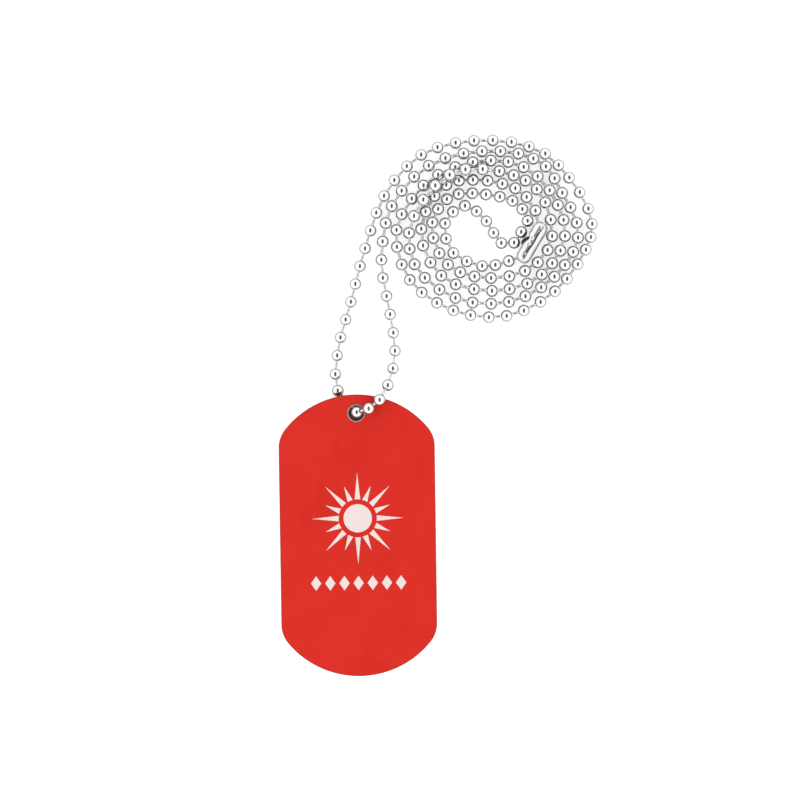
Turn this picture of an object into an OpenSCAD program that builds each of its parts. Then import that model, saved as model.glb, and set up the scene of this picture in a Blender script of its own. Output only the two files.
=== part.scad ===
// Identification dog tag lying flat, with its ball chain laid down in a loose double coil.
// The floor is z = 0, and +Y is the way that the tag's holed end points.

/* [Tag] */
// Width of the plate across its straight sides
tag_w = 28.6; // [26:0.2:31]
// Length of the plate between the tips of its curved ends
tag_h = 51.8; // [46:0.2:58]
// Thickness of the sheet
tag_t = 0.9; // [0.7:0.05:1]
// Radius of the curved ends
end_r = 16.9; // [16:0.1:22]
// Radius of the four shoulders between the sides and the ends
shoulder_r = 5.5; // [3:0.1:7]
// How much wider the hole is than a ball of the chain
hole_play = 0.65; // [0.55:0.05:1.2]
// Width of the bare chamfer round the hole, on both faces
hole_rim = 0.16; // [0.05:0.01:0.25]
// Distance from the hole's centre to the tip of the end
hole_inset = 3.4; // [3:0.1:4.5]
// How far the plate is turned in plan, in degrees
tag_turn = 0.8; // [-2:0.1:2]

/* [Chain] */
// Diameter of a ball
ball_d = 2.25; // [2.1:0.05:2.35]
// Wall of a hollow ball
ball_wall = 0.25; // [0.2:0.01:0.3]
// Longest distance between the centres of two linked balls
pitch = 3.45; // [3.3:0.05:3.5]
// Diameter of the pin between two balls
pin_d = 0.56; // [0.4:0.02:0.6]
// How much wider the drilled holes are than a pin
pin_play = 0.28; // [0.22:0.02:0.32]
// How much wider the head of a pin is than the hole that holds it in
head_hold = 0.16; // [0.1:0.02:0.3]

/* [Coupling] */
// Length of the sleeve over its rounded ends
coupling_l = 8.6; // [8:0.1:9]
// Wall of the rolled sheet
coupling_wall = 0.2; // [0.15:0.01:0.25]
// Diameter of the mouth in each end, smaller than a ball
mouth_d = 1.3; // [1.1:0.05:1.6]
// How much wider than a pin the slot is that it slides along
slot_play = 0.5; // [0.4:0.02:0.6]
// Width of the seam that is left open along the top
seam_w = 0.45; // [0.3:0.05:0.6]
// Length of the open seam
seam_l = 7.2; // [5:0.2:7.4]
// How far the seam is rolled away from the top, in degrees
seam_roll = 11; // [0:1:30]
// How much wider the entry opening in the side is than a ball
entry_play = 0.15; // [0.1:0.05:0.3]
// How far the entry opening lies from mid-length, towards the far end
entry_shift = 0.3; // [0:0.05:0.5]

/* [Fit] */
// Clear gap between loose pieces that lie against each other
gap = 0.1; // [0.1:0.01:0.12]

/* [Hidden] */
round_fn = 48;
arc_step = 3;
overcut = 1;

// Middle of the coupling and the direction it points in, from the tag's hole
coupling_at = [32.2, 31.3];
coupling_turn = 59.5;

// Route of the chain, from the coupling's near mouth through the tag's hole to its far mouth.
// The places are from the tag's hole, and the balls between two points are evenly numbered.
// Columns: x, y, lift of the ball's centre above its height on the floor, balls on to the next point
ROUTE = [
    [28.0, 27.9, 0, 2], [23.1, 27.0, 0, 2], [17.8, 29.3, 0, 2], [16.2, 34.8, 0, 2],
    [20.0, 38.0, 0, 2], [23.9, 35.2, 0, 2], [26.7, 31.3, 0, 2], [31.0, 32.9, 0, 2],
    [30.5, 37.5, 0, 3], [23.8, 40.1, 0, 3], [16.6, 39.3, 0, 2], [13.9, 35.0, 0, 2],
    [15.2, 29.3, 0, 3], [21.7, 25.0, 0, 3], [31.0, 25.8, 0, 3], [36.2, 32.5, 0, 3],
    [33.1, 41.2, 0, 3], [26.3, 44.2, 0, 2], [20.0, 44.6, 1.4, 1], [17.1, 43.6, 1.7, 2],
    [12.3, 39.1, 1.1, 2], [9.7, 33.1, 0, 2], [10.7, 27.3, 0, 3], [18.2, 21.1, 0, 3],
    [28.0, 20.4, 0, 3], [36.4, 25.0, 0, 3], [40.9, 32.2, 0, 3], [37.7, 40.4, 0, 3],
    [32.6, 46.7, 0, 3], [23.1, 48.0, 0, 3], [13.3, 45.4, 0, 3], [6.6, 37.9, 0, 3],
    [4.6, 28.1, 0, 3], [6.2, 18.1, 0, 2], [7.1, 11.4, 0, 2], [5.8, 5.1, 2.1, 1],
    [4.3, 2.4, 3.4, 1], [2.3, 0.8, 3.3, 1], [0.1, 0.15, 1.7, 1], [-1.5, 2.2, 0, 1],
    [-3.4, 4.1, 0, 2], [-3.5, 10.6, 0, 3], [-1.0, 20.4, 0, 3], [1.6, 30.2, 0, 3],
    [5.1, 39.8, 0, 3], [11.9, 47.4, 0, 3], [21.6, 50.0, 0, 3], [31.7, 48.9, 0, 3],
    [39.1, 43.2, 0, 3], [43.3, 34.7, 0, 2], [41.8, 29.9, 0, 3], [36.5, 22.3, 0, 3],
    [27.6, 17.8, 0, 3], [17.8, 18.8, 0, 3], [9.8, 24.4, 0, 3], [7.4, 33.6, 0, 3],
    [12.3, 41.8, 0, 3], [21.4, 46.0, 0, 3], [30.8, 45.2, 0, 3], [37.0, 38.2, 0, 3],
    [37.4, 29.8, 0, 2], [34.0, 25.5, 0, 3], [24.9, 22.5, 0, 3], [15.6, 25.2, 0, 3],
    [11.9, 33.8, 0, 3], [16.5, 41.9, 0, 2], [21.4, 42.8, 0, 3], [29.2, 41.2, 0, 2],
    [33.0, 37.2, 0, 1],
];

// Radii and widths of what runs in or through something else
ball_r = ball_d / 2;
hole_d = ball_d + hole_play;
pin_hole_d = pin_d + pin_play;
pin_head_d = pin_hole_d + head_hold;
inner_r = ball_r + gap;
coupling_r = inner_r + coupling_wall;
slot_w = pin_d + slot_play;
entry_d = ball_d + entry_play;

// Turns a vector in plan
function turned(v, a) = [v[0] * cos(a) - v[1] * sin(a), v[0] * sin(a) + v[1] * cos(a)];

// The coupling's two seats, at the centres of its rounded ends, where the chain's end balls lie
seat_half = coupling_l / 2 - coupling_r;
seat_lift = coupling_r - ball_r;
near_seat = coupling_at - turned([seat_half, 0], coupling_turn);
far_seat = coupling_at + turned([seat_half, 0], coupling_turn);

// The route with a seat at each end, and the number of the ball that lies at each point
POINTS = concat(
    [[near_seat[0], near_seat[1], seat_lift, 1]],
    ROUTE,
    [[far_seat[0], far_seat[1], seat_lift, 0]]
);
last_point = len(POINTS) - 1;
function lift(i) = POINTS[i][2];
function balls_on(i) = POINTS[i][3];
ball_at = [for (i = 0, n = 0; i <= last_point; n = n + balls_on(i), i = i + 1) n];
last_ball = ball_at[last_point];

// The ball that lies in the tag's hole is the one at the point nearest to the route's zero
hole_point = [for (i = [0 : last_point]) if (norm([POINTS[i][0], POINTS[i][1]]) < ball_r) i][0];
hole_ball = ball_at[hole_point];

// Centre of the ball at a point of the route
function place(i) = [POINTS[i][0], POINTS[i][1], ball_r + lift(i)];

// Step from one ball to the next at a point, from the steps on its two sides
function step_after(i) = (place(i + 1) - place(i)) / balls_on(i);
function heading(i) =
    i == 0 ? step_after(0)
    : i == last_point ? step_after(last_point - 1)
    : (step_after(i - 1) * balls_on(i) + step_after(i) * balls_on(i - 1))
        / (balls_on(i - 1) + balls_on(i));

// Smooth cubic curve from point i to the next, at the share t of the way
function between(i, t) =
    place(i) * (2 * pow(t, 3) - 3 * pow(t, 2) + 1)
    + heading(i) * balls_on(i) * (pow(t, 3) - 2 * pow(t, 2) + t)
    + place(i + 1) * (3 * pow(t, 2) - 2 * pow(t, 3))
    + heading(i + 1) * balls_on(i) * (pow(t, 3) - pow(t, 2));

LAID = concat(
    [for (i = [0 : last_point - 1]) for (k = [0 : balls_on(i) - 1]) between(i, k / balls_on(i))],
    [place(last_point)]
);

// The balls then settle beside each other. In each round every free ball is eased away from the
// balls that it would touch, towards the linked balls that it is too far from, and off the coupling.
settle_rounds = 60;
settle_ease = 0.3;
settle_slack = 0.01;
near_by = 1.6 * pitch;
apart = ball_d + gap + settle_slack;
NEAR = [for (i = [0 : last_ball])
    [for (j = [0 : last_ball]) if (j != i && norm(LAID[i] - LAID[j]) < near_by) j]];
function held(i) = i == 0 || i == last_ball || abs(i - hole_ball) <= 3;
function total(vectors) = [for (v = vectors) 1] * vectors;
function ball_push(c, i, j) =
    let (v = c[i] - c[j], d = norm(v))
    d < apart ? v * (apart / d - 1)
    : abs(i - j) == 1 && d > pitch ? v * (pitch / d - 1)
    : [0, 0, 0];
function sleeve_push(p) =
    let (
        from = [near_seat[0], near_seat[1], coupling_r],
        axis = [far_seat[0] - near_seat[0], far_seat[1] - near_seat[1], 0],
        along = min(1, max(0, (p - from) * axis / (axis * axis))),
        v = p - from - along * axis,
        need = coupling_r + ball_r + gap + settle_slack
    )
    norm(v) < need ? [v[0], v[1], 0] / norm([v[0], v[1]]) * (need - norm(v)) : [0, 0, 0];
function eased(c, i) =
    let (p = c[i] + settle_ease * (total([for (j = NEAR[i]) ball_push(c, i, j)]) + 2 * sleeve_push(c[i])))
    held(i) ? c[i] : [p[0], p[1], max(p[2], ball_r)];
function settled(c, rounds) =
    rounds < 1 ? c : settled([for (i = [0 : last_ball]) eased(c, i)], rounds - 1);

// Centres of all the balls, in order along the chain
CENTRES = settled([for (c = LAID) [c[0], c[1], max(c[2], ball_r)]], settle_rounds);

// The plate stands with its foot, the tip of its lower end, on the floor and has its hole over the
// route's zero. Its underside leans on the ball after the hole, whose place gives its tilt.
hole_up = tag_h - hole_inset;
prop = CENTRES[hole_ball + 1];
prop_along = hole_up + turned([prop[0], prop[1]], -tag_turn)[1];
tag_tilt = asin((ball_r + gap) / norm([prop_along, ball_r])) + atan(ball_r / prop_along);
tag_foot = turned([0, -hole_up * cos(tag_tilt)], tag_turn);

// Outline of the plate, made of two ends and four shoulders, all arcs of circles that meet smoothly
shoulder_x = tag_w / 2 - shoulder_r;
shoulder_y = end_r - sqrt(pow(end_r - shoulder_r, 2) - pow(shoulder_x, 2));
end_half = atan(shoulder_x / (end_r - shoulder_y));
function arc(centre, r, from, to) =
    let (n = ceil(abs(to - from) / arc_step))
    [for (k = [0 : n]) let (a = from + (to - from) * k / n) centre + r * [cos(a), sin(a)]];
PLATE_OUTLINE = concat(
    arc([0, tag_h - end_r], end_r, 90 - end_half, 90 + end_half),
    arc([-shoulder_x, tag_h - shoulder_y], shoulder_r, 90 + end_half, 180),
    arc([-shoulder_x, shoulder_y], shoulder_r, 180, 270 - end_half),
    arc([0, end_r], end_r, 270 - end_half, 270 + end_half),
    arc([shoulder_x, shoulder_y], shoulder_r, 270 + end_half, 360),
    arc([shoulder_x, tag_h - shoulder_y], shoulder_r, 0, 90 - end_half)
);

// Middle of the whole thing's box in plan: the plate reaches furthest left and down, and the chain
// furthest right and up. The thing is shifted so that this middle is at the origin.
PLATE_IN_PLAN = [for (p = PLATE_OUTLINE) tag_foot + turned([p[0], p[1] * cos(tag_tilt)], tag_turn)];
left = min([for (p = PLATE_IN_PLAN) p[0]]);
bottom = min([for (p = PLATE_IN_PLAN) p[1]]);
right = max([for (c = CENTRES) c[0]]) + ball_r;
top = max([for (c = CENTRES) c[1]]) + ball_r;
middle = [(left + right) / 2, (bottom + top) / 2, 0];

// Half section of the rolled sleeve: a wall with rounded ends that stop at the mouths
outer_cut = acos(mouth_d / 2 / coupling_r);
inner_cut = acos(mouth_d / 2 / inner_r);
SLEEVE_SECTION = concat(
    arc([0, -seat_half], coupling_r, -outer_cut, 0),
    arc([0, seat_half], coupling_r, 0, outer_cut),
    arc([0, seat_half], inner_r, inner_cut, 0),
    arc([0, -seat_half], inner_r, 0, -inner_cut)
);

// Turns what it holds so that +Z points along v
module pointed(v) {
    rotate([0, acos(v[2] / norm(v)), atan2(v[1], v[0])]) children();
}

// Cone that breaks the edge of the hole at one face, as wide as it is deep
module rim_cone() {
    deep = hole_rim + overcut;
    translate([0, 0, -overcut])
        cylinder(r1 = hole_d / 2 + deep, r2 = hole_d / 2, h = deep, $fn = round_fn);
}

// The plate, flat and level, with its foot at the origin
module flat_plate() {
    difference() {
        linear_extrude(height = tag_t) polygon(PLATE_OUTLINE);
        translate([0, hole_up, 0]) {
            translate([0, 0, -overcut]) cylinder(d = hole_d, h = tag_t + 2 * overcut, $fn = round_fn);
            rim_cone();
            translate([0, 0, tag_t]) mirror([0, 0, 1]) rim_cone();
        }
    }
}

// The red plate, leaning on the chain that passes under it and up through its hole
module tag_plate() {
    color([0.86, 0.2, 0.15])
        translate([tag_foot[0], tag_foot[1], 0] - middle)
        rotate([tag_tilt, 0, tag_turn])
        flat_plate();
}

// A hollow ball, drilled in the direction given
module shell(drilled) {
    pointed(drilled)
        difference() {
            sphere(r = ball_r, $fn = round_fn);
            sphere(r = ball_r - ball_wall, $fn = round_fn);
            cylinder(d = pin_hole_d, h = ball_d, $fn = round_fn);
        }
}

// A pin rooted in its ball's wall, with its head held captive at the middle of the next ball
module pin(reach) {
    root = ball_r - ball_wall / 2;
    pointed(reach) {
        translate([0, 0, root]) cylinder(d = pin_d, h = norm(reach) - root, $fn = round_fn);
        translate([0, 0, norm(reach)]) sphere(d = pin_head_d, $fn = round_fn);
    }
}

// Ball number i, drilled towards the ball before it, with its own pin to the ball after it.
// The first ball has none before it, and is drilled on the side away from its pin.
module chain_ball(i) {
    translate(CENTRES[i] - middle) {
        shell(i == 0 ? CENTRES[0] - CENTRES[1] : CENTRES[i - 1] - CENTRES[i]);
        if (i < last_ball) pin(CENTRES[i + 1] - CENTRES[i]);
    }
}

// The half of the chain from the coupling to the ball in the tag's hole
module chain_to_tag() {
    color([0.82, 0.82, 0.84]) for (i = [0 : hole_ball]) chain_ball(i);
}

// The half of the chain from under the tag back to the coupling
module chain_from_tag() {
    color([0.82, 0.82, 0.84]) for (i = [hole_ball + 1 : last_ball]) chain_ball(i);
}

// The sleeve along +X, with its open seam near the top. A ball goes in at the opening in the left
// side, and its pin slides along the slot beside it to the mouth at one end or the other.
module sleeve() {
    difference() {
        rotate([0, 90, 0]) rotate_extrude($fn = round_fn) polygon(SLEEVE_SECTION);
        rotate([seam_roll, 0, 0])
            translate([-seam_l / 2, -seam_w / 2, 0]) cube([seam_l, seam_w, coupling_r + overcut]);
        translate([entry_shift, 0, 0])
            rotate([-90, 0, 0]) cylinder(d = entry_d, h = coupling_r + overcut, $fn = round_fn);
        translate([-coupling_l / 2, 0, -slot_w / 2])
            cube([coupling_l, coupling_r + overcut, slot_w]);
    }
}

// The rolled sleeve that holds both end balls of the chain, lying on the floor
module coupling() {
    color([0.8, 0.8, 0.82])
        translate([coupling_at[0], coupling_at[1], coupling_r] - middle)
        rotate([0, 0, coupling_turn])
        sleeve();
}

tag_plate();
chain_to_tag();
chain_from_tag();
coupling();
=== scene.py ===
"""Red identification tag on a hollow ball chain, laid flat in a loose double coil.

Every length is in metres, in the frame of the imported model: the floor is z = 0 and +Y is the way
that the tag's holed end points.
"""
import logging
import math
from dataclasses import dataclass
from enum import Enum

import bpy
import numpy as np
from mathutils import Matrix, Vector


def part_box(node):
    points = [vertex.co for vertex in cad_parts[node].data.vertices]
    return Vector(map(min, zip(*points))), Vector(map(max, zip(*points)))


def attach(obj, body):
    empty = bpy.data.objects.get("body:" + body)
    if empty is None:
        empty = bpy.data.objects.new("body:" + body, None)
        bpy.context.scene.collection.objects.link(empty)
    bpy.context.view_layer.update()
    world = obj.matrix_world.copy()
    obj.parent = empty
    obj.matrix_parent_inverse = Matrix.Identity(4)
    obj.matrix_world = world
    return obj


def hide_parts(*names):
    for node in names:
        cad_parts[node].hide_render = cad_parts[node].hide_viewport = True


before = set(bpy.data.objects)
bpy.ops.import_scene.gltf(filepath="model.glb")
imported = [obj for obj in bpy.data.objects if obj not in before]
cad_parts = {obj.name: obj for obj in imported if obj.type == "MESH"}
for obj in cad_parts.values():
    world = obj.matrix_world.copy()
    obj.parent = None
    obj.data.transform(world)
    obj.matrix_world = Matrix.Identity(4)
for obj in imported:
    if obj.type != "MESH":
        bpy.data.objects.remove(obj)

logging.basicConfig(level=logging.INFO, format="%(name)s: %(message)s")
log = logging.getLogger("tag")

MM = 0.001
# Keeps a division or an angle off zero
TINY = 1e-9
Array = np.ndarray

# Levels of the noise between which a scratch goes from nothing to full
SCRATCH_FROM, SCRATCH_FULL = 0.66, 0.8

# Route of the chain, from the coupling's near mouth through the tag's hole to its far mouth.
# The places are from the tag's hole, and the balls between two points are evenly numbered.
# Columns: x, y, lift of the ball's centre above its height on the floor, balls on to the next point
ROUTE = (
    (0.0280, 0.0279, 0, 2), (0.0231, 0.0270, 0, 2), (0.0178, 0.0293, 0, 2), (0.0162, 0.0348, 0, 2),
    (0.0200, 0.0380, 0, 2), (0.0239, 0.0352, 0, 2), (0.0267, 0.0313, 0, 2), (0.0310, 0.0329, 0, 2),
    (0.0305, 0.0375, 0, 3), (0.0238, 0.0401, 0, 3), (0.0166, 0.0393, 0, 2), (0.0139, 0.0350, 0, 2),
    (0.0152, 0.0293, 0, 3), (0.0217, 0.0250, 0, 3), (0.0310, 0.0258, 0, 3), (0.0362, 0.0325, 0, 3),
    (0.0331, 0.0412, 0, 3), (0.0263, 0.0442, 0, 2), (0.0200, 0.0446, 0.0014, 1),
    (0.0171, 0.0436, 0.0017, 2), (0.0123, 0.0391, 0.0011, 2), (0.0097, 0.0331, 0, 2),
    (0.0107, 0.0273, 0, 3), (0.0182, 0.0211, 0, 3), (0.0280, 0.0204, 0, 3), (0.0364, 0.0250, 0, 3),
    (0.0409, 0.0322, 0, 3), (0.0377, 0.0404, 0, 3), (0.0326, 0.0467, 0, 3), (0.0231, 0.0480, 0, 3),
    (0.0133, 0.0454, 0, 3), (0.0066, 0.0379, 0, 3), (0.0046, 0.0281, 0, 3), (0.0062, 0.0181, 0, 2),
    (0.0071, 0.0114, 0, 2), (0.0058, 0.0051, 0.0021, 1), (0.0043, 0.0024, 0.0034, 1),
    (0.0023, 0.0008, 0.0033, 1), (0.0001, 0.00015, 0.0017, 1), (-0.0015, 0.0022, 0, 1),
    (-0.0034, 0.0041, 0, 2), (-0.0035, 0.0106, 0, 3), (-0.0010, 0.0204, 0, 3), (0.0016, 0.0302, 0, 3),
    (0.0051, 0.0398, 0, 3), (0.0119, 0.0474, 0, 3), (0.0216, 0.0500, 0, 3), (0.0317, 0.0489, 0, 3),
    (0.0391, 0.0432, 0, 3), (0.0433, 0.0347, 0, 2), (0.0418, 0.0299, 0, 3), (0.0365, 0.0223, 0, 3),
    (0.0276, 0.0178, 0, 3), (0.0178, 0.0188, 0, 3), (0.0098, 0.0244, 0, 3), (0.0074, 0.0336, 0, 3),
    (0.0123, 0.0418, 0, 3), (0.0214, 0.0460, 0, 3), (0.0308, 0.0452, 0, 3), (0.0370, 0.0382, 0, 3),
    (0.0374, 0.0298, 0, 2), (0.0340, 0.0255, 0, 3), (0.0249, 0.0225, 0, 3), (0.0156, 0.0252, 0, 3),
    (0.0119, 0.0338, 0, 3), (0.0165, 0.0419, 0, 2), (0.0214, 0.0428, 0, 3), (0.0292, 0.0412, 0, 2),
    (0.0330, 0.0372, 0, 1),
)


class Finish(Enum):
    """The finishes that the pieces wear, by their materials' names."""

    RED_ANODISED = "anodised red face"
    # A darker copy of the anodised red: painted shade along the plate's round edge
    RED_EDGE_IN_SHADE = "anodised red edge, painted shade"
    BARE_ALUMINIUM = "bare aluminium rim"
    PALE_ENGRAVING = "pale engraving"
    BRIGHT_NICKEL = "bright nickel balls"
    # Same nickel as the balls, darker for painted shade on the pins and rougher
    DULL_NICKEL_IN_SHADE = "dull nickel pins, painted shade"
    ROLLED_STEEL = "rolled steel outside"
    # Steel on the sleeve's inner faces, rougher, and dark as painted shade inside the sleeve
    DARK_INSIDE_PAINTED_SHADE = "rolled steel inside, painted shade"
    PALE_FLOOR = "pale floor sheet"


def unit(vectors: Array) -> Array:
    """Vectors of length one, along the last axis."""
    return vectors / np.linalg.norm(vectors, axis=-1, keepdims=True)


def arc(centre: Array, radius: float, start: float, end: float, step: float = 3.0) -> Array:
    """Points round a circle: centre + radius * (cos a, sin a), with a going evenly from start to end.

    Args:
        centre: The circle's centre, x and y.
        radius: The circle's radius.
        start: First angle, in degrees.
        end: Last angle, in degrees.
        step: Widest step, in degrees.

    Returns:
        The points, one a row.
    """
    steps = math.ceil(abs(end - start) / step)
    angles = np.radians(np.linspace(start, end, steps + 1))
    return np.asarray(centre) + radius * np.stack([np.cos(angles), np.sin(angles)], axis=-1)


def grid_faces(rows: int, columns: int, close_rows: bool, close_columns: bool) -> Array:
    """Quads of a grid of points numbered row by row.

    Args:
        rows: Number of rows of points.
        columns: Points in a row.
        close_rows: Whether the last row joins the first.
        close_columns: Whether the last column joins the first.

    Returns:
        Four point numbers a face, anticlockwise when columns run right and rows run up.
    """
    r = np.arange(rows if close_rows else rows - 1)[:, None]
    c = np.arange(columns if close_columns else columns - 1)[None, :]
    r_on, c_on = (r + 1) % rows, (c + 1) % columns
    quads = [r * columns + c, r * columns + c_on, r_on * columns + c_on, r_on * columns + c]
    return np.stack(quads, axis=-1).reshape(-1, 4)


def add_piece(name: str, points: Array, faces: list[list[int]] | Array, finish: Finish) -> bpy.types.Object:
    """Puts a computed surface into the scene as one smooth piece on the only body.

    Args:
        name: The piece's name.
        points: All its points, one a row.
        faces: Point numbers of each face.
        finish: What it is made of.

    Returns:
        The new object, at the origin.
    """
    mesh = bpy.data.meshes.new(name)
    mesh.from_pydata(points.tolist(), [], faces.tolist() if isinstance(faces, Array) else faces)
    mesh.polygons.foreach_set("use_smooth", [True] * len(mesh.polygons))
    mesh.update()
    piece = bpy.data.objects.new(name, mesh)
    bpy.context.scene.collection.objects.link(piece)
    mesh.materials.append(bpy.data.materials[finish.value])
    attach(piece, "root")
    return piece


@dataclass(frozen=True)
class PlateOutline:
    """The plate's outline: two ends and four shoulders, all arcs of circles that meet smoothly."""

    width: float = 28.6 * MM
    height: float = 51.8 * MM
    end_r: float = 16.9 * MM
    shoulder_r: float = 5.5 * MM

    def points(self) -> Array:
        """The outline anticlockwise from the top's right, with the lower end's tip at zero.

        A shoulder's centre lies where its arc touches both the straight side and the end's arc.

        Returns:
            The points, one a row.
        """
        h, r = self.height, self.shoulder_r
        sx = self.width / 2 - r
        sy = self.end_r - math.sqrt((self.end_r - r) ** 2 - sx**2)
        half = math.degrees(math.atan(sx / (self.end_r - sy)))
        arcs = [
            arc((0, h - self.end_r), self.end_r, 90 - half, 90 + half),
            arc((-sx, h - sy), r, 90 + half, 180),
            arc((-sx, sy), r, 180, 270 - half),
            arc((0, self.end_r), self.end_r, 270 - half, 270 + half),
            arc((sx, sy), r, 270 + half, 360),
            arc((sx, h - sy), r, 0, 90 - half),
        ]
        keep = [points[:-1] if k not in (1, 4) else points for k, points in enumerate(arcs)]
        return np.vstack(keep)


@dataclass
class Layout:
    """Where everything lies, by the same rules as the solids: places on the floor, from the tag's hole."""

    ball_r: float = 1.125 * MM
    gap: float = 0.1 * MM
    pitch: float = 3.45 * MM
    coupling_r: float = 1.425 * MM
    coupling_l: float = 8.6 * MM
    coupling_at: tuple[float, float] = (32.2 * MM, 31.3 * MM)
    coupling_turn: float = 59.5
    outline: PlateOutline = PlateOutline()
    hole_inset: float = 3.4 * MM
    tag_turn: float = 0.8
    settle_rounds: int = 60
    settle_ease: float = 0.3
    settle_slack: float = 0.01 * MM
    settle_near: float = 1.6
    held_by_tag: int = 3

    def __post_init__(self) -> None:
        """Works out the seats, the balls, the tag's tilt and the shift to the model's own origin."""
        turn = math.radians(self.coupling_turn)
        seat_half = self.coupling_l / 2 - self.coupling_r
        self.coupling_axis = np.array([math.cos(turn), math.sin(turn), 0.0])
        middle = np.array([*self.coupling_at, self.coupling_r])
        self.near_seat = middle - seat_half * self.coupling_axis
        self.far_seat = middle + seat_half * self.coupling_axis
        route = np.array(ROUTE, dtype=float)
        places = np.column_stack([route[:, :2], self.ball_r + route[:, 2]])
        counts = route[:, 3].astype(int)
        self.places = np.vstack([self.near_seat, places, self.far_seat])
        self.counts = np.concatenate([[1], counts])
        numbers = np.concatenate([[0], np.cumsum(self.counts)])
        self.hole_ball = int(numbers[np.argmin(np.linalg.norm(self.places[:, :2], axis=1))])
        self.centres = self.settle(self.lay())
        self.set_tag()
        self.shift = self.shift_to_origin()

    def lay(self) -> Array:
        """Balls spaced along a smooth curve through the route's points.

        Between two points the curve is the cubic Hermite blend
        (2t^3 - 3t^2 + 1) p + (t^3 - 2t^2 + t) n h + (3t^2 - 2t^3) p' + (t^3 - t^2) n h', where n is the
        number of balls on, and h the step from ball to ball, blended from the steps on both sides.

        Returns:
            The centres before they settle.
        """
        p, n = self.places, self.counts[:, None].astype(float)
        step = np.diff(p, axis=0) / n
        inner = (step[:-1] * n[1:] + step[1:] * n[:-1]) / (n[:-1] + n[1:])
        heading = np.vstack([step[:1], inner, step[-1:]])
        of_span = np.repeat(np.arange(len(n)), self.counts)
        first = np.repeat(np.cumsum(self.counts) - self.counts, self.counts)
        t = ((np.arange(len(of_span)) - first) / self.counts[of_span])[:, None]
        reach = n[of_span]
        curve = (
            p[of_span] * (2 * t**3 - 3 * t**2 + 1)
            + heading[of_span] * reach * (t**3 - 2 * t**2 + t)
            + p[of_span + 1] * (3 * t**2 - 2 * t**3)
            + heading[of_span + 1] * reach * (t**3 - t**2)
        )
        return np.vstack([curve, p[-1:]])

    def settle(self, laid: Array) -> Array:
        """Eases the free balls apart, along the chain and off the coupling, in equal rounds.

        Each round moves a ball by a share of the sum of its pushes: apart from each ball nearer than a
        diameter and a gap, towards a linked ball further than the pitch, and sideways off the sleeve.

        Args:
            laid: The centres on the smooth curve.

        Returns:
            The centres at rest.
        """
        apart = 2 * self.ball_r + self.gap + self.settle_slack
        need = self.coupling_r + self.ball_r + self.gap + self.settle_slack
        number = np.arange(len(laid))
        near = np.linalg.norm(laid[:, None] - laid[None], axis=-1) < self.settle_near * self.pitch
        np.fill_diagonal(near, False)
        linked = np.abs(number[:, None] - number[None]) == 1
        free = np.abs(number - self.hole_ball) > self.held_by_tag
        free[[0, -1]] = False
        axis = self.far_seat - self.near_seat
        balls = laid.copy()
        balls[:, 2] = np.maximum(balls[:, 2], self.ball_r)
        for _ in range(self.settle_rounds):
            way = balls[:, None] - balls[None]
            reach = np.linalg.norm(way, axis=-1) + np.eye(len(balls))
            pulled = np.where(linked & (reach > self.pitch), self.pitch, reach)
            target = np.where(reach < apart, apart, pulled)
            push = (way * np.where(near, target / reach - 1, 0)[..., None]).sum(axis=1)
            along = np.clip((balls - self.near_seat) @ axis / (axis @ axis), 0, 1)[:, None]
            off = balls - self.near_seat - along * axis
            short = np.maximum(need - np.linalg.norm(off, axis=1), 0)
            flat = off * (1, 1, 0)
            flat /= np.maximum(np.linalg.norm(flat, axis=1, keepdims=True), TINY)
            move = self.settle_ease * (push + 2 * flat * short[:, None])
            balls = balls + move * free[:, None]
            balls[:, 2] = np.maximum(balls[:, 2], self.ball_r)
        return balls

    def set_tag(self) -> None:
        """Leans the tag on the ball after its hole, with the tip of its lower end on the floor."""
        turn = math.radians(self.tag_turn)
        across = np.array([math.cos(turn), math.sin(turn), 0.0])
        along = np.array([-math.sin(turn), math.cos(turn), 0.0])
        hole_up = self.outline.height - self.hole_inset
        prop_along = hole_up + self.centres[self.hole_ball + 1] @ along
        lean = math.asin((self.ball_r + self.gap) / math.hypot(prop_along, self.ball_r))
        self.tilt = lean + math.atan(self.ball_r / prop_along)
        self.tag_across = across
        self.tag_along = math.cos(self.tilt) * along + np.array([0.0, 0.0, math.sin(self.tilt)])
        self.tag_up = np.cross(self.tag_across, self.tag_along)
        self.tag_foot = -hole_up * math.cos(self.tilt) * along

    def shift_to_origin(self) -> Array:
        """The move to the model's origin, the middle in plan of the plate's and the balls' common box."""
        plate = self.tag_foot + self.outline.points() @ np.stack([self.tag_across, self.tag_along])
        low, high = plate.min(axis=0), self.centres.max(axis=0) + self.ball_r
        return -np.array([low[0] + high[0], low[1] + high[1], 0.0]) / 2

    def check(self) -> None:
        """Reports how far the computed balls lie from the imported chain's box, which they should fill."""
        boxes = [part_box(node) for node in ("chain_to_tag", "chain_from_tag")]
        balls = self.centres + self.shift
        low = balls.min(axis=0) - self.ball_r - np.min([box[0] for box in boxes], axis=0)
        high = balls.max(axis=0) + self.ball_r - np.max([box[1] for box in boxes], axis=0)
        off = (np.concatenate([low, high]) / MM).round(4)
        log.info("tilt %.2f degrees, chain off its box by %s mm", math.degrees(self.tilt), off)


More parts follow.
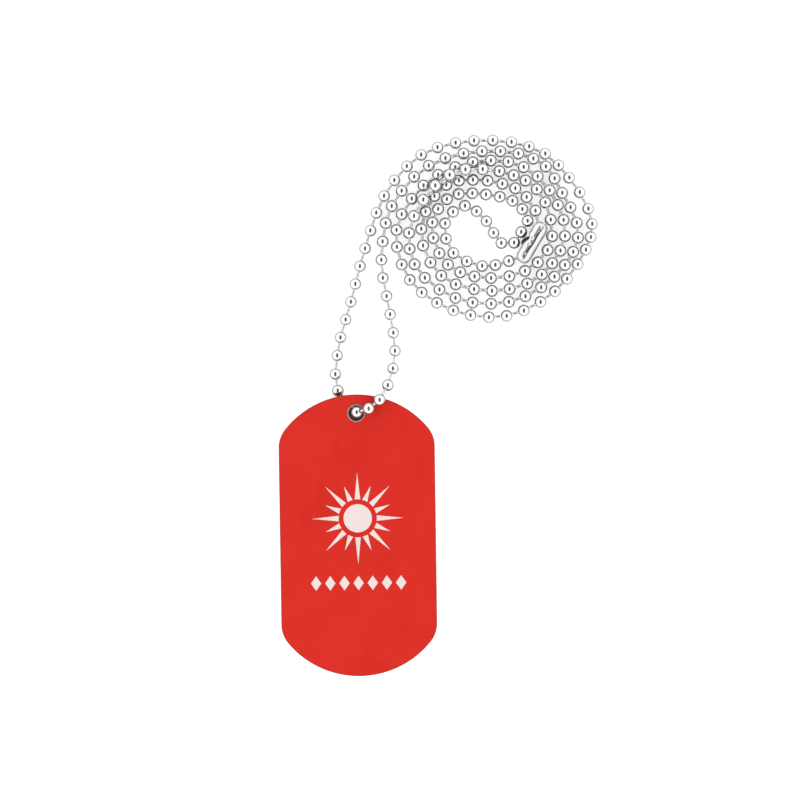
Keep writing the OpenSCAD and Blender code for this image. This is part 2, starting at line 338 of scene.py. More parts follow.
@dataclass
class BallChain:
    """The chain of hollow balls: two pieces that meet at the tag's hole."""

    layout: Layout
    sides: int = 16
    rings: int = 8
    wall: float = 0.25 * MM
    hole_r: float = 0.42 * MM
    lip: float = 0.05 * MM
    pin_r: float = 0.28 * MM
    head_r: float = 0.48 * MM
    head_half: float = 0.2 * MM
    head_tip: float = 0.7
    head_neck: float = 0.8
    head_face: float = 0.05
    slack_reach: float = 0.2 * MM
    pin_sides: int = 10

    def ball_shells(self, first: int, last: int) -> tuple[Array, Array]:
        """Drilled hollow shells, each a closed grid of rings that swing from one hole to the other.

        A ring is a circle on the sphere of radius r about the turning direction u, at the angle q from
        u: p = c + r (cos q u + sin q (cos v e + sin v f)). Over the outside q goes from the first
        hole's edge to the second's while u swings from the first hole's direction to the reverse of
        the second's, then both go back over the inside with the smaller radius.

        Args:
            first: Number of the first ball.
            last: Number of the last ball.

        Returns:
            The points and the faces.
        """
        balls = self.layout.centres
        number = np.arange(first, last + 1)
        end = len(balls) - 1
        before = balls[number - 1]
        before[number == 0] = 2 * balls[0] - balls[1]
        back = unit(before - balls[number])
        following = balls[np.minimum(number + 1, end)]
        following[number == end] = 2 * balls[end] - balls[end - 1]
        ahead = unit(following - balls[number])

        r = self.layout.ball_r
        edge, inner_edge = math.asin(self.hole_r / r), math.asin(self.hole_r / (r - self.wall))
        soft = math.asin((self.hole_r + self.lip) / r)
        share = np.concatenate([[0], np.linspace(0, 1, self.rings + 1), [1, 1, 0.5, 0]])
        angle = np.concatenate([
            [edge], np.linspace(soft, math.pi - soft, self.rings + 1), [math.pi - edge],
            [math.pi - inner_edge, math.pi / 2, inner_edge],
        ])
        radius = np.array([r - self.lip, *[r] * (self.rings + 1), r - self.lip, *[r - self.wall] * 3])
        between = np.arccos(np.clip(-(back * ahead).sum(axis=1), -1, 1))[:, None, None] + TINY
        s = share[None, :, None]
        u = np.sin((1 - s) * between) * back[:, None] - np.sin(s * between) * ahead[:, None]
        u = u / np.sin(between)
        e = unit(np.array([0.0, 0.0, 1.0]) - u[..., 2:] * u)
        f = np.cross(u, e)
        v = np.linspace(0, 2 * math.pi, self.sides, endpoint=False)
        q = angle[None, :, None, None]
        ring = np.cos(v)[:, None] * e[:, :, None] + np.sin(v)[:, None] * f[:, :, None]
        out = np.cos(q) * u[:, :, None] + np.sin(q) * ring
        points = balls[number][:, None, None] + radius[None, :, None, None] * out
        one = grid_faces(len(radius), self.sides, True, True)[:, ::-1]
        size = len(radius) * self.sides
        faces = one[None] + size * np.arange(len(number))[:, None, None]
        return points.reshape(-1, 3), faces.reshape(-1, 4)

    def pins(self, first: int, last: int) -> tuple[Array, Array]:
        """Dumbbell pins, each a turned profile along its link with a flat head inside either ball.

        The profile is a list of (place along the link, radius), swept round the link's line:
        p = m + a d + w (cos v e + sin v f). A tight link holds its heads against the holes, and a
        slack one lets them back towards the middles of the balls.

        Args:
            first: Number of the ball that the first pin leaves.
            last: Number of the ball that the last pin leaves.

        Returns:
            The points and the faces.
        """
        balls = self.layout.centres
        start, stop = balls[first : last + 1], balls[first + 1 : last + 2]
        link = np.linalg.norm(stop - start, axis=1)
        d = unit(stop - start)
        e = unit(np.array([0.0, 0.0, 1.0]) - d[:, 2:] * d)
        f = np.cross(d, e)
        inside = math.sqrt((self.layout.ball_r - self.wall) ** 2 - self.hole_r**2) - self.head_half
        half = link / 2 - np.maximum(inside - (self.layout.pitch - link) / 2, self.slack_reach)
        head, tip, neck = self.head_half * np.array([1.0, self.head_tip, self.head_neck])
        face, shoulder = self.head_r * self.head_face, self.head_r * self.head_tip
        offsets = np.array([-head, -tip, 0.0, neck, -neck, 0.0, tip, head])
        one_head = [face, shoulder, self.head_r, self.pin_r]
        radii = np.array([*one_head, *one_head[::-1]])
        sign = np.where(np.arange(len(offsets)) < len(offsets) / 2, -1.0, 1.0)
        along = sign * half[:, None] + offsets
        v = np.linspace(0, 2 * math.pi, self.pin_sides, endpoint=False)
        ring = np.cos(v)[:, None] * e[:, None, :] + np.sin(v)[:, None] * f[:, None, :]
        middle = ((start + stop) / 2)[:, None, None]
        out = radii[None, :, None, None] * ring[:, None]
        points = middle + along[..., None, None] * d[:, None, None] + out
        rows, columns = len(offsets), self.pin_sides
        one = grid_faces(rows, columns, False, True)
        caps = [list(range(columns))[::-1], list(range((rows - 1) * columns, rows * columns))]
        size = rows * columns
        quads = (one[None] + size * np.arange(len(link))[:, None, None]).reshape(-1, 4)
        ends = [[p + size * k for p in cap] for k in range(len(link)) for cap in caps]
        return points.reshape(-1, 3), [*quads.tolist(), *ends]

    def half(self, name: str, node: str, first: int, last: int) -> bpy.types.Object:
        """One half of the chain, its shells and pins in one mesh.

        Args:
            name: The piece's name.
            node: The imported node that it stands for.
            first: Number of its first ball.
            last: Number of its last ball.

        Returns:
            The new piece.
        """
        shells, shell_faces = self.ball_shells(first, last)
        last_pin = min(last, len(self.layout.centres) - 2)
        pins, pin_faces = self.pins(first, last_pin)
        faces = shell_faces.tolist() + [[p + len(shells) for p in face] for face in pin_faces]
        points = np.vstack([shells, pins]) + self.layout.shift
        piece = add_piece(name, points, faces, Finish.BRIGHT_NICKEL)
        # The pins take the darker nickel, painted shade between the balls
        piece.data.materials.append(bpy.data.materials[Finish.DULL_NICKEL_IN_SHADE.value])
        is_pin = np.arange(len(faces)) >= len(shell_faces)
        piece.data.polygons.foreach_set("material_index", is_pin.astype(np.int32))
        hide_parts(node)
        log.info("%s: %d balls, %d faces", name, last - first + 1, len(faces))
        return piece

    def build(self) -> None:
        """Both halves."""
        hole = self.layout.hole_ball
        self.half("ball_chain_to_tag", "chain_to_tag", 0, hole)
        self.half("ball_chain_from_tag", "chain_from_tag", hole + 1, len(self.layout.centres) - 1)


@dataclass
class Coupling:
    """The rolled sleeve, one sheet with a seam, an entry opening and a slot to slide the pins along."""

    layout: Layout
    wall: float = 0.2 * MM
    mouth_r: float = 0.65 * MM
    slot_half: float = 0.53 * MM
    entry_r: float = 1.2 * MM
    entry_shift: float = 0.3 * MM
    seam_half: float = 0.16 * MM
    seam_reach: float = 3.6 * MM
    seam_closing: float = 0.5 * MM
    seam_side: float = 0.21 * MM
    seam_sway: float = 0.05 * MM
    seam_wave: float = 3.6 * MM
    seam_drift: float = 0.035
    dent_at: tuple[tuple[float, float], ...] = ((0.66 * MM, 0.22 * MM), (-0.54 * MM, 0.25 * MM))
    dent_wide: float = 0.19 * MM
    dent_deep: float = 0.2 * MM
    boss_high: float = 0.06 * MM
    boss_half: tuple[float, float] = (0.42 * MM, 0.3 * MM)
    edge_round: float = 0.03 * MM
    sharp_from: float = 50.0
    opening_sine: float = 0.97
    seam_shut: float = 1e-6
    rows: int = 120
    flap_columns: int = 14
    body_columns: int = 46

    def profile(self) -> tuple[Array, Array]:
        """Places along the sleeve and radii from one mouth to the other: two quarter circles and a line.

        Returns:
            The places along the axis from mid-length, and the outer radii there.
        """
        r = self.layout.coupling_r
        seat_half = self.layout.coupling_l / 2 - r
        cut = math.acos(self.mouth_r / r)
        dome = r * cut
        run = np.linspace(-seat_half - dome, seat_half + dome, self.rows)
        over = np.clip(np.abs(run) - seat_half, 0, None) / r
        along = np.sign(run) * (np.minimum(np.abs(run), seat_half) + r * np.sin(over))
        return along, r * np.cos(over)

    def seam_angles(self, along: Array, radius: Array) -> tuple[Array, Array]:
        """Angles of the seam's right and left edges, from straight up and positive to the left.

        The seam's middle sways as a cosine about a line a little to the right of the top, and its
        width closes to nothing past its two ends.

        Args:
            along: Places along the sleeve.
            radius: Outer radii there.

        Returns:
            The right edge's angles and the left edge's.
        """
        sway = self.seam_sway * np.cos(2 * math.pi * along / self.seam_wave)
        drift = self.seam_drift * along
        side = -(self.seam_side + sway + drift)
        closing = np.clip((self.seam_reach - np.abs(along)) / self.seam_closing, 0, 1)
        half = self.seam_half * np.sqrt(closing)
        right = np.arcsin(np.clip((side - half) / radius, -1, 1))
        left = np.arcsin(np.clip((side + half) / radius, -1, 1))
        return right, left

    def dressed_radius(self, along: Array, angle: Array, radius: Array) -> Array:
        """Outer radius with the two small dents beside the seam and the low boss between them.

        Each dent and the boss is a bell, height * exp(-(distance / width)^2), taken from or added to
        the plain radius.

        Args:
            along: Places along the sleeve, a column.
            angle: Angles from straight up, positive to the left.
            radius: Plain outer radii, a column.

        Returns:
            The dressed radii.
        """
        side = radius * np.sin(angle)
        on_top = np.cos(angle) > 0
        dressed = radius + np.zeros_like(angle)
        for place, across in self.dent_at:
            far = ((along - place) ** 2 + (side - across) ** 2) / self.dent_wide**2
            dressed -= np.where(on_top, self.dent_deep * np.exp(-far), 0)
        (a, sa), (b, sb) = self.dent_at
        long, wide = self.boss_half
        far = (along - (a + b) / 2) ** 2 / long**2 + (side - (sa + sb) / 2) ** 2 / wide**2
        return dressed + np.where(on_top, self.boss_high * np.exp(-far), 0)

    def build(self) -> bpy.types.Object:
        """The sheet as a grid of places along and angles round, with a wall and softened edges.

        The angle runs from the slot's upper edge over the top to the seam's left edge, and from its
        right edge round the right side and the bottom to the slot's lower edge. The slot's edge stands
        at the angle whose sine is the slot's half height over the radius, and round the entry opening
        the half height follows a circle, sqrt(R^2 - x^2). A point is
        m + x a + r (sin angle l + cos angle z).

        Returns:
            The new piece.
        """
        along, radius = self.profile()
        right, left = self.seam_angles(along, radius)
        circle = np.sqrt(np.maximum(self.entry_r**2 - (along - self.entry_shift) ** 2, 0))
        opening = np.arcsin(np.clip(np.maximum(circle, self.slot_half) / radius, 0, self.opening_sine))
        upper, lower = math.pi / 2 - opening, math.pi / 2 + opening
        flap = left[:, None] + (upper - left)[:, None] * np.linspace(0, 1, self.flap_columns)[::-1]
        turned = np.linspace(0, 1, self.body_columns)
        around = right[:, None] - (2 * math.pi + right - lower)[:, None] * turned
        angle = np.hstack([flap, around])
        columns = self.flap_columns + self.body_columns
        r = self.dressed_radius(along[:, None], angle, radius[:, None])
        lay = self.layout
        leftwards = np.array([-lay.coupling_axis[1], lay.coupling_axis[0], 0.0])
        middle = (lay.near_seat + lay.far_seat) / 2 + lay.shift
        points = (
            middle
            + along[:, None, None] * lay.coupling_axis
            + (r * np.sin(angle))[..., None] * leftwards
            + (r * np.cos(angle))[..., None] * np.array([0.0, 0.0, 1.0])
        )
        faces = grid_faces(self.rows, columns, False, False)
        seam_column = self.flap_columns - 1
        faces = faces[faces[:, 0] % columns != seam_column]
        closed = np.nonzero(left - right < self.seam_shut)[0]
        number = np.arange(self.rows * columns)
        number[closed * columns + seam_column + 1] = closed * columns + seam_column
        faces = number[faces]
        used, index = np.unique(faces, return_inverse=True)
        points, faces = points.reshape(-1, 3)[used], index.reshape(-1, 4)
        piece = add_piece("sleeve_coupling", points, faces, Finish.ROLLED_STEEL)
        # Inner faces take the dark steel, painted shade inside the sleeve
        piece.data.materials.append(bpy.data.materials[Finish.DARK_INSIDE_PAINTED_SHADE.value])
        self.thicken(piece)
        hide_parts("coupling")
        log.info("sleeve_coupling: %d faces before its wall", len(faces))
        return piece

    def thicken(self, piece: bpy.types.Object) -> None:
        """Gives the sheet its wall and its sheared edges a small round."""
        wall = piece.modifiers.new("wall", "SOLIDIFY")
        wall.thickness = self.wall
        wall.offset = -1
        wall.use_even_offset = True
        # The wall's inner faces take the second material, the painted shade inside
        wall.material_offset = 1
        edges = piece.modifiers.new("edges", "BEVEL")
        edges.width = self.edge_round
        edges.segments = 2
        edges.limit_method = "ANGLE"
        edges.angle_limit = math.radians(self.sharp_from)
        even = piece.modifiers.new("even", "WEIGHTED_NORMAL")
        even.keep_sharp = False


@dataclass
class TagPlate:
    """The red plate with its chamfered hole, and the pale mark engraved on its face."""

    layout: Layout
    thick: float = 0.9 * MM
    hole_r: float = 1.45 * MM
    rim: float = 0.16 * MM
    edge_round: float = 0.14 * MM
    edge_steps: int = 5
    face_rows: int = 6
    ray_share: float = 0.45
    mark_at: float = 29.1 * MM
    ray_count: int = 16
    ray_out: float = 8.4 * MM
    short_ray: float = 0.76
    ray_in: float = 3.5 * MM
    ray_half: float = 8.5
    core_r: float = 2.6 * MM
    core_step: float = 7.5
    lozenge_at: float = 17.2 * MM
    lozenge_step: float = 2.6 * MM
    lozenge_half: tuple[float, float] = (0.95 * MM, 1.35 * MM)
    lozenge_count: int = 7
    mark_proud: float = 0.012 * MM
    mark_sunk: float = 0.02 * MM

    def place(self, flat: Array) -> Array:
        """Moves points of the flat plate to where it lies: p = foot + x across + y along + z up."""
        lay = self.layout
        frame_of_tag = np.stack([lay.tag_across, lay.tag_along, lay.tag_up])
        return lay.tag_foot + lay.shift + flat @ frame_of_tag

    def plate(self) -> bpy.types.Object:
        """The plate as one grid, closed both ways: loops from the hole over each face and the edge.

        A loop is the blend (1 - t) of the hole's circle and t of the outline, drawn in at the plate's
        edge along the outline's normals by the edge's quarter circles.

        Returns:
            The new piece.
        """
        outer = self.layout.outline.points()
        tangent = unit(np.roll(outer, -1, axis=0) - np.roll(outer, 1, axis=0))
        normal = np.stack([tangent[:, 1], -tangent[:, 0]], axis=-1)
        hole = np.array([0.0, self.layout.outline.height - self.layout.hole_inset])
        ray = np.unwrap(np.arctan2(*(outer - hole)[:, ::-1].T))
        even = ray[0] + np.linspace(0, 2 * math.pi, len(outer), endpoint=False)
        angle = self.ray_share * ray + (1 - self.ray_share) * even
        circle = np.stack([np.cos(angle), np.sin(angle)], axis=-1)
        e, t = self.edge_round, self.thick
        quarter = np.linspace(0, math.pi / 2, self.edge_steps + 1)

        def flat_loop(share: float, height: float) -> Array:
            """A loop on a face, share of the way from the chamfer to the edge's round."""
            inner = hole + (self.hole_r + self.rim) * circle
            loop = inner + share * (outer - e * normal - inner)
            return np.column_stack([loop, np.full(len(loop), height)])

        def edge_loop(turn: float, side: float) -> Array:
            """A loop on the round edge, turned up from level on the upper or lower side."""
            loop = outer - e * (1 - math.cos(turn)) * normal
            height = t / 2 + side * (t / 2 - e * (1 - math.sin(turn)))
            return np.column_stack([loop, np.full(len(loop), height)])

        def hole_loop(radius: float, height: float) -> Array:
            """A loop of the hole's wall or chamfer."""
            return np.column_stack([hole + radius * circle, np.full(len(circle), height)])

        shares = np.array([0.0, 0.02, *np.linspace(0.1, 0.98, self.face_rows), 0.997])
        loops = [hole_loop(self.hole_r, self.rim), hole_loop(self.hole_r, t - self.rim)]
        loops += [flat_loop(share, t) for share in shares]
        loops += [edge_loop(turn, 1) for turn in quarter[::-1]]
        loops += [edge_loop(turn, -1) for turn in quarter]
        loops += [flat_loop(share, 0.0) for share in shares[::-1]]
        points = self.place(np.vstack(loops))
        faces = grid_faces(len(loops), len(outer), True, True)
        piece = add_piece("red_plate", points, faces[:, ::-1], Finish.RED_ANODISED)
        piece.data.materials.append(bpy.data.materials[Finish.BARE_ALUMINIUM.value])
        piece.data.materials.append(bpy.data.materials[Finish.RED_EDGE_IN_SHADE.value])
        row = faces[:, 0] // len(outer)
        bare = (row <= 1) | (row == len(loops) - 1)
        first = 2 + len(shares)
        # The round edge wears the darker red, which is painted shade along the plate's edge
        edge = (row >= first) & (row < first + 2 * len(quarter) - 1)
        piece.data.polygons.foreach_set("material_index", bare + 2 * edge)
        piece.data.polygons.foreach_set("use_smooth", ~bare)
        even_normals = piece.modifiers.new("even", "WEIGHTED_NORMAL")
        even_normals.keep_sharp = True
        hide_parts("tag_plate")
        log.info("red_plate: %d faces", len(faces))
        return piece

    def prism(self, name: str, outlines: list[Array]) -> bpy.types.Object:
        """Flat closed marks on the plate's face, each an outline with a floor, a wall and a top.

        Args:
            name: The piece's name.
            outlines: The marks' outlines on the flat plate, anticlockwise.

        Returns:
            The new piece.
        """
        low, high = self.thick - self.mark_sunk, self.thick + self.mark_proud
        points, faces, start = [], [], 0
        for loop in outlines:
            n = len(loop)
            points += [np.column_stack([loop, np.full(n, height)]) for height in (low, high)]
            faces += (start + grid_faces(2, n, False, True)).tolist()
            faces.append(list(range(start + n - 1, start - 1, -1)))
            faces.append(list(range(start + n, start + 2 * n)))
            start += 2 * n
        piece = add_piece(name, self.place(np.vstack(points)), faces, Finish.PALE_ENGRAVING)
        piece.data.polygons.foreach_set("use_smooth", [False] * len(piece.data.polygons))
        log.info("%s: %d marks", name, len(outlines))
        return piece

    def marks(self) -> None:
        """The plain sunburst, rays round a core, and the row of lozenges under it."""
        middle = np.array([0.0, self.mark_at])
        core = arc(middle, self.core_r, 0, 360, self.core_step)[:-1]
        rays = []
        for k in range(self.ray_count):
            turn = 360 * k / self.ray_count + 90
            long = self.ray_out if k % 2 == 0 else self.short_ray * self.ray_out
            foot = arc(middle, self.ray_in, turn - self.ray_half, turn + self.ray_half)
            tip = middle + long * np.array([math.cos(math.radians(turn)), math.sin(math.radians(turn))])
            rays.append(np.vstack([foot[::-1], tip]))
        self.prism("sunburst_mark", [core, *rays])
        wide, tall = self.lozenge_half
        places = (np.arange(self.lozenge_count) - (self.lozenge_count - 1) / 2) * self.lozenge_step
        corners = np.array([(wide, 0.0), (0.0, tall), (-wide, 0.0), (0.0, -tall)])
        self.prism("lozenge_marks", [corners + (place, self.lozenge_at) for place in places])

    def build(self) -> None:
        """The plate and its marks."""
        self.plate()
        self.marks()


@dataclass(frozen=True)
class NodeMaker:
    """Short ways to add and join nodes in one tree."""

    tree: bpy.types.NodeTree

    def add(self, kind: str, **values: object) -> bpy.types.Node:
        """A new node of that kind, with its inputs or its own settings set by name."""
        node = self.tree.nodes.new(kind)
        for key, value in values.items():
            if hasattr(node, key):
                setattr(node, key, value)
            else:
                node.inputs[key.replace("_", " ").title()].default_value = value
        return node

    def join(self, source: bpy.types.NodeSocket, target: bpy.types.NodeSocket) -> None:
        """A link from source to target."""
        self.tree.links.new(source, target)

    def sum_up(self, operation: str, *parts: bpy.types.NodeSocket | float) -> bpy.types.NodeSocket:
        """A Math node's output, from sockets and plain numbers in order."""
        node = self.add("ShaderNodeMath", operation=operation)
        for slot, part in zip(node.inputs, parts):
            if isinstance(part, bpy.types.NodeSocket):
                self.join(part, slot)
            else:
                slot.default_value = part
        return node.outputs[0]

    def ramp(self, value: bpy.types.NodeSocket, *limits: float, smooth: bool = True) -> bpy.types.NodeSocket:
        """A Map Range node's output: from its first two limits to its last two, or to 0 and 1."""
        node = self.add("ShaderNodeMapRange", interpolation_type="SMOOTHSTEP" if smooth else "LINEAR")
        for key, limit in zip(("From Min", "From Max", "To Min", "To Max"), limits):
            node.inputs[key].default_value = limit
        self.join(value, node.inputs["Value"])
        return node.outputs["Result"]


def new_group(name: str, inputs: dict[str, float], outputs: tuple[str, ...]) -> bpy.types.NodeTree:
    """An empty shader node group with a vector input, float inputs and float outputs.

    Args:
        name: The group's name.
        inputs: Names and defaults of its number inputs.
        outputs: Names of its outputs.

    Returns:
        The group, with its input and output nodes in place.
    """
    group = bpy.data.node_groups.new(name, "ShaderNodeTree")
    group.interface.new_socket("Place", in_out="INPUT", socket_type="NodeSocketVector")
    for key, value in inputs.items():
        socket = group.interface.new_socket(key, in_out="INPUT", socket_type="NodeSocketFloat")
        socket.default_value = value
    for key in outputs:
        group.interface.new_socket(key, in_out="OUTPUT", socket_type="NodeSocketFloat")
    group.nodes.new("NodeGroupInput")
    group.nodes.new("NodeGroupOutput")
    return group


def brushed_group() -> bpy.types.NodeTree:
    """Fine straight scratches along the tag: noise stretched along one direction, in two sizes."""
    group = new_group("brushed lines", {"Across": 9000.0, "Along": 260.0}, ("Lines", "Height"))
    make = NodeMaker(group)
    source, sink = group.nodes["Group Input"], group.nodes["Group Output"]
    scale = make.add("ShaderNodeCombineXYZ")
    make.join(source.outputs["Across"], scale.inputs["X"])
    make.join(source.outputs["Along"], scale.inputs["Y"])
    make.join(source.outputs["Along"], scale.inputs["Z"])
    stretched = make.add("ShaderNodeVectorMath", operation="MULTIPLY")
    make.join(source.outputs["Place"], stretched.inputs[0])
    make.join(scale.outputs[0], stretched.inputs[1])
    fine = make.add("ShaderNodeTexNoise", scale=1.0, detail=3.0, roughness=0.6)
    make.join(stretched.outputs[0], fine.inputs["Vector"])
    coarse = make.add("ShaderNodeTexNoise", scale=0.22, detail=2.0, roughness=0.5)
    make.join(stretched.outputs[0], coarse.inputs["Vector"])
    both = make.sum_up("ADD", fine.outputs["Fac"], coarse.outputs["Fac"])
    lines = make.sum_up("MULTIPLY", both, 0.5)
    make.join(lines, sink.inputs["Lines"])
    make.join(lines, sink.inputs["Height"])
    return group


def handling_group() -> bpy.types.NodeTree:
    """Faint handling wear: soft cloudy patches and a scatter of short fine scratches."""
    sizes = {"Patch Size": 180.0, "Scratch Size": 2600.0}
    group = new_group("handling wear", sizes, ("Cloud", "Scratches"))
    make = NodeMaker(group)
    source, sink = group.nodes["Group Input"], group.nodes["Group Output"]
    cloud = make.add("ShaderNodeTexNoise", detail=4.0, roughness=0.55)
    make.join(source.outputs["Place"], cloud.inputs["Vector"])
    make.join(source.outputs["Patch Size"], cloud.inputs["Scale"])
    make.join(cloud.outputs["Fac"], sink.inputs["Cloud"])
    warped = make.add("ShaderNodeTexNoise", detail=1.0, distortion=1.6)
    make.join(source.outputs["Place"], warped.inputs["Vector"])
    make.join(source.outputs["Scratch Size"], warped.inputs["Scale"])
    thin = make.ramp(warped.outputs["Fac"], SCRATCH_FROM, SCRATCH_FULL, smooth=False)
    make.join(thin, sink.inputs["Scratches"])
    return group


@dataclass(frozen=True)
class MetalFinish:
    """One metal: its colour, how it varies, and how strongly it is brushed."""

    finish: Finish
    colour: tuple[float, float, float]
    darker: tuple[float, float, float]
    metallic: float
    rough: tuple[float, float]
    across: float = 9000.0
    along: float = 260.0
    turn: float = 0.0
    line_bump: float = 0.0
    bump_distance: float = 0.02 * MM
    specular: float = 0.5
    line_share: float = 0.8
    scratch_share: float = 0.4

    def build(self, brushed: bpy.types.NodeTree, wear: bpy.types.NodeTree) -> bpy.types.Material:
        """The material, with both shared groups placed in it.

        Args:
            brushed: The group of brushed lines.
            wear: The group of handling wear.

        Returns:
            The new material.
        """
        material = bpy.data.materials.new(self.finish.value)
        material.use_nodes = True
        tree = material.node_tree
        make = NodeMaker(tree)
        shader = tree.nodes["Principled BSDF"]
        shader.inputs["Metallic"].default_value = self.metallic
        shader.inputs["Specular IOR Level"].default_value = self.specular
        place = make.add("ShaderNodeTexCoord")
        turned = make.add("ShaderNodeMapping")
        turned.inputs["Rotation"].default_value = (0.0, 0.0, math.radians(self.turn))
        make.join(place.outputs["Object"], turned.inputs["Vector"])
        lines = make.add("ShaderNodeGroup", node_tree=brushed)
        lines.inputs["Across"].default_value = self.across
        lines.inputs["Along"].default_value = self.along
        make.join(turned.outputs["Vector"], lines.inputs["Place"])
        used = make.add("ShaderNodeGroup", node_tree=wear)
        make.join(place.outputs["Object"], used.inputs["Place"])
        tone = make.add("ShaderNodeMix", data_type="RGBA")
        tone.inputs["A"].default_value = (*self.darker, 1.0)
        tone.inputs["B"].default_value = (*self.colour, 1.0)
        cloud = used.outputs["Cloud"]
        mixed = make.sum_up("MULTIPLY_ADD", lines.outputs["Lines"], self.line_share, cloud)
        make.join(mixed, tone.inputs["Factor"])
        make.join(tone.outputs["Result"], shader.inputs["Base Color"])
        spread = make.sum_up("MULTIPLY_ADD", used.outputs["Scratches"], self.scratch_share, cloud)
        make.join(make.ramp(spread, 0.0, 1.0, *self.rough, smooth=False), shader.inputs["Roughness"])
        bump = make.add("ShaderNodeBump")
        bump.inputs["Strength"].default_value = self.line_bump
        bump.inputs["Distance"].default_value = self.bump_distance
        make.join(lines.outputs["Height"], bump.inputs["Height"])
        make.join(bump.outputs["Normal"], shader.inputs["Normal"])
        return material


METALS = (
    MetalFinish(
        Finish.RED_ANODISED, (0.565, 0.0215, 0.0135), (0.45, 0.015, 0.0098), 0.07, (0.36, 0.50),
        across=5200.0, along=120.0, line_bump=0.16, specular=0.13,
    ),
    # Darker copy of the red face, painted shade for the round edge
    MetalFinish(
        Finish.RED_EDGE_IN_SHADE, (0.34, 0.016, 0.012), (0.24, 0.010, 0.008), 0.3, (0.45, 0.60),
        across=1200.0, along=1200.0, line_bump=0.1, specular=0.2,
    ),
    MetalFinish(
        Finish.BARE_ALUMINIUM, (0.42, 0.44, 0.43), (0.32, 0.34, 0.33), 0.5, (0.45, 0.60),
        line_bump=0.1,
    ),
    MetalFinish(
        Finish.PALE_ENGRAVING, (0.67, 0.57, 0.54), (0.58, 0.48, 0.45), 0.0, (0.55, 0.75),
        across=3000.0, along=3000.0, line_bump=0.2,
    ),
    MetalFinish(Finish.BRIGHT_NICKEL, (0.66, 0.66, 0.65), (0.58, 0.58, 0.57), 1.0, (0.07, 0.13)),
    # Darker copy of the ball nickel: painted shade on the pins, with a rougher surface
    MetalFinish(Finish.DULL_NICKEL_IN_SHADE, (0.52, 0.52, 0.51), (0.44, 0.44, 0.43), 1.0, (0.12, 0.22)),
    MetalFinish(
        Finish.ROLLED_STEEL, (0.58, 0.58, 0.58), (0.45, 0.45, 0.45), 1.0, (0.28, 0.42),
        across=4000.0, along=400.0, turn=30.5, line_bump=0.1,
    ),
    # Nearly black copy of the steel, painted shade inside the sleeve, and rougher
    MetalFinish(Finish.DARK_INSIDE_PAINTED_SHADE, (0.16, 0.16, 0.16), (0.08, 0.08, 0.08), 1.0, (0.45, 0.60)),
)


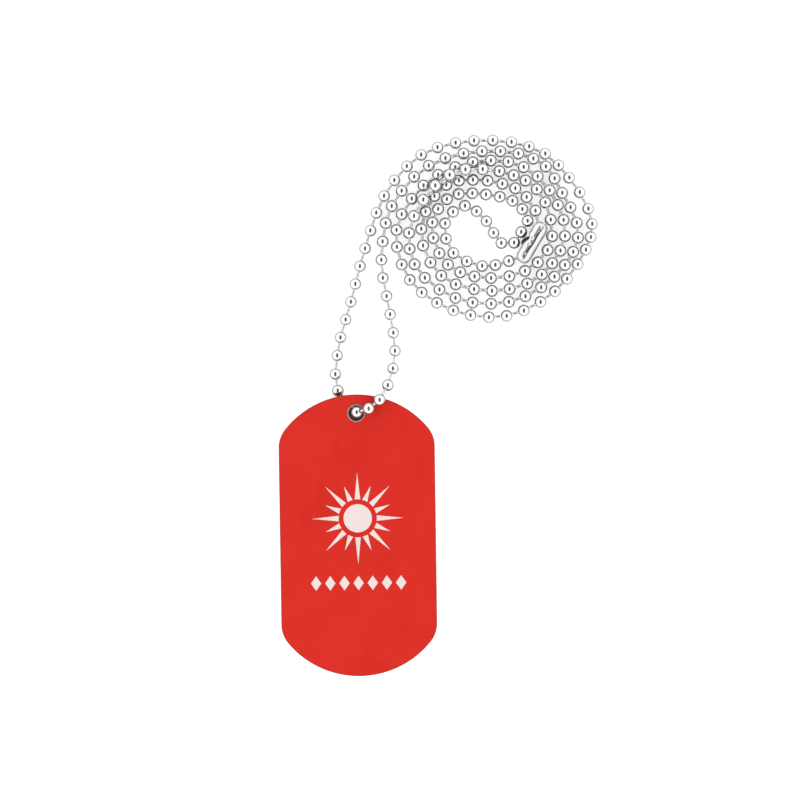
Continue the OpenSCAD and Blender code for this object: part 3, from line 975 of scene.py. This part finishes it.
@dataclass
class Studio:
    """The pale floor, the soft white room and the camera straight above.

    The floor looks white, and shows grey in the metal, as under a thing that was cut out and laid on
    white. The white stops short of the tag's edge, so that none of it shows through the tag's hole, and
    it leaves out the small dark place under the coupling's entry opening. Both dark places are painted
    shadows: the floor there takes a dark colour and has no glow.
    """

    layout: Layout
    floor_half: float = 1.5
    floor_below: float = 0.005 * MM
    floor_rough: float = 0.8
    floor_colour: tuple[float, float, float] = (0.68, 0.68, 0.68)
    # Colour of the painted shadows on the floor, under the tag and beside the coupling's entry opening
    painted_shadow_colour: tuple[float, float, float] = (0.16, 0.16, 0.16)
    camera_high: float = 0.6
    frame_width: float = 147.2 * MM
    sensor: float = 36.0
    aim: tuple[float, float] = (8.02 * MM, 2.37 * MM)
    floor_glow: float = 0.70
    # Ellipse of painted shadow under the tag, dark and without glow, seen through the tag's hole
    tag_shadow_half: tuple[float, float] = (12.0 * MM, 25.0 * MM)
    tag_shadow_soft: float = 0.02
    # Small ellipse of painted shadow under the coupling's entry opening
    entry_shadow_at: tuple[float, float] = (-0.17 * MM, 1.06 * MM)
    entry_shadow_half: tuple[float, float] = (1.05 * MM, 0.6 * MM)
    entry_shadow_turn: float = -23.0
    entry_shadow_soft: float = 0.2
    gap_half: tuple[float, float] = (24.0, 45.0)
    gap_edge: tuple[float, float] = (0.6, 1.5)
    gap_light: float = 0.14
    box_light: float = 1.9
    low_light: float = 0.5
    low_bottom: float = -0.05
    low_top: float = 0.12

    def floor(self) -> None:
        """A wide level sheet just under everything."""
        h, z = self.floor_half, -self.floor_below
        mesh = bpy.data.meshes.new("floor")
        mesh.from_pydata([(-h, -h, z), (h, -h, z), (h, h, z), (-h, h, z)], [], [(0, 1, 2, 3)])
        floor = bpy.data.objects.new("floor", mesh)
        bpy.context.scene.collection.objects.link(floor)
        material = bpy.data.materials.new(Finish.PALE_FLOOR.value)
        material.use_nodes = True
        tree = material.node_tree
        make = NodeMaker(tree)
        shader = tree.nodes["Principled BSDF"]
        shader.inputs["Roughness"].default_value = self.floor_rough
        shader.inputs["Emission Color"].default_value = (1.0, 1.0, 1.0, 1.0)
        lay = self.layout
        tag_shadow_centre = (lay.tag_foot + lay.outline.height / 2 * lay.tag_along + lay.shift)[:2]
        sideways = np.array([-lay.coupling_axis[1], lay.coupling_axis[0], 0.0])
        entry = self.entry_shadow_at[0] * lay.coupling_axis + self.entry_shadow_at[1] * sideways
        entry_shadow_centre = ((lay.near_seat + lay.far_seat) / 2 + entry + lay.shift)[:2]
        # Painted shadows: inside these two ellipses the floor takes the dark colour and loses its glow
        tag_shadow_mask = self.patch(make, tag_shadow_centre, lay.tag_turn, self.tag_shadow_half, self.tag_shadow_soft)
        turn = lay.coupling_turn + self.entry_shadow_turn
        entry_shadow_mask = self.patch(make, entry_shadow_centre, turn, self.entry_shadow_half, self.entry_shadow_soft)
        unshadowed = make.sum_up("MULTIPLY", tag_shadow_mask, entry_shadow_mask)
        tone = make.add("ShaderNodeMix", data_type="RGBA")
        tone.inputs["A"].default_value = (*self.painted_shadow_colour, 1.0)
        tone.inputs["B"].default_value = (*self.floor_colour, 1.0)
        make.join(unshadowed, tone.inputs["Factor"])
        make.join(tone.outputs["Result"], shader.inputs["Base Color"])
        glow = make.sum_up("MULTIPLY", unshadowed, self.floor_glow)
        camera_ray = make.add("ShaderNodeLightPath").outputs["Is Camera Ray"]
        make.join(make.sum_up("MULTIPLY", glow, camera_ray), shader.inputs["Emission Strength"])
        mesh.materials.append(material)

    @staticmethod
    def patch(
        make: NodeMaker, at: Array, turn: float, half: tuple[float, float], soft: float
    ) -> bpy.types.NodeSocket:
        """A mask that is 0 inside an ellipse on the floor and 1 outside it, which places a painted shadow.

        It rises where sqrt((x / a)^2 + (y / b)^2) passes one, for the turned place (x, y).

        Args:
            make: Adds the nodes.
            at: The ellipse's centre, x and y.
            turn: Turn of its first half axis, in degrees.
            half: Its half axes, a and b.
            soft: Half the width of the rise, as a share of the half axes.

        Returns:
            The mask's socket.
        """
        local = make.add("ShaderNodeMapping", vector_type="TEXTURE")
        local.inputs["Location"].default_value = (at[0], at[1], 0.0)
        local.inputs["Rotation"].default_value = (0.0, 0.0, math.radians(turn))
        local.inputs["Scale"].default_value = (*half, 1.0)
        make.join(make.add("ShaderNodeTexCoord").outputs["Object"], local.inputs["Vector"])
        off = make.add("ShaderNodeVectorMath", operation="LENGTH")
        make.join(local.outputs["Vector"], off.inputs[0])
        return make.ramp(off.outputs["Value"], 1 - soft, 1 + soft)

    def room(self) -> None:
        """White light from two broad sides of the ceiling, with a darker gap between them overhead.

        The brightness is a function of the direction (x, y, z) alone. It goes from the gap's to the
        boxes' where (x / sin a)^2 + (y / sin b)^2 passes one, for the gap's half angles a and b, and
        falls off towards the horizon.
        """
        world = bpy.data.worlds.new("soft room")
        bpy.context.scene.world = world
        world.use_nodes = True
        tree = world.node_tree
        make = NodeMaker(tree)
        background = tree.nodes["Background"]
        place = make.add("ShaderNodeTexCoord")
        parts = make.add("ShaderNodeSeparateXYZ")
        make.join(place.outputs["Generated"], parts.inputs[0])
        squares = []
        for axis, half in zip("XY", self.gap_half):
            part = make.sum_up("MULTIPLY", parts.outputs[axis], 1 / math.sin(math.radians(half)))
            squares.append(make.sum_up("MULTIPLY", part, part))
        off = make.sum_up("ADD", *squares)
        gap = make.ramp(off, *self.gap_edge, self.gap_light, self.box_light)
        low = make.ramp(parts.outputs["Z"], self.low_bottom, self.low_top, self.low_light, 1.0)
        background.inputs["Color"].default_value = (1.0, 1.0, 1.0, 1.0)
        make.join(make.sum_up("MULTIPLY", gap, low), background.inputs["Strength"])
        bpy.context.scene.view_settings.view_transform = "Standard"

    def camera(self) -> None:
        """A long lens straight above, framed as the photograph is."""
        data = bpy.data.cameras.new("camera")
        data.sensor_width = self.sensor
        data.lens = self.sensor * self.camera_high / self.frame_width
        data.clip_start = 0.01
        data.clip_end = 10.0
        camera = bpy.data.objects.new("camera", data)
        bpy.context.scene.collection.objects.link(camera)
        x, y = np.array(self.aim) + self.layout.shift[:2]
        camera.location = Vector((x, y, self.camera_high))
        bpy.context.scene.camera = camera

    def build(self) -> None:
        """The camera first, then the floor and the light."""
        self.camera()
        self.floor()
        self.room()


def main() -> None:
    """Builds the studio, the finishes and the pieces."""
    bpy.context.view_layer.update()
    layout = Layout()
    layout.check()
    Studio(layout).build()
    brushed, wear = brushed_group(), handling_group()
    for metal in METALS:
        metal.build(brushed, wear)
    BallChain(layout).build()
    Coupling(layout).build()
    TagPlate(layout).build()


if __name__ == "__main__":
    main()
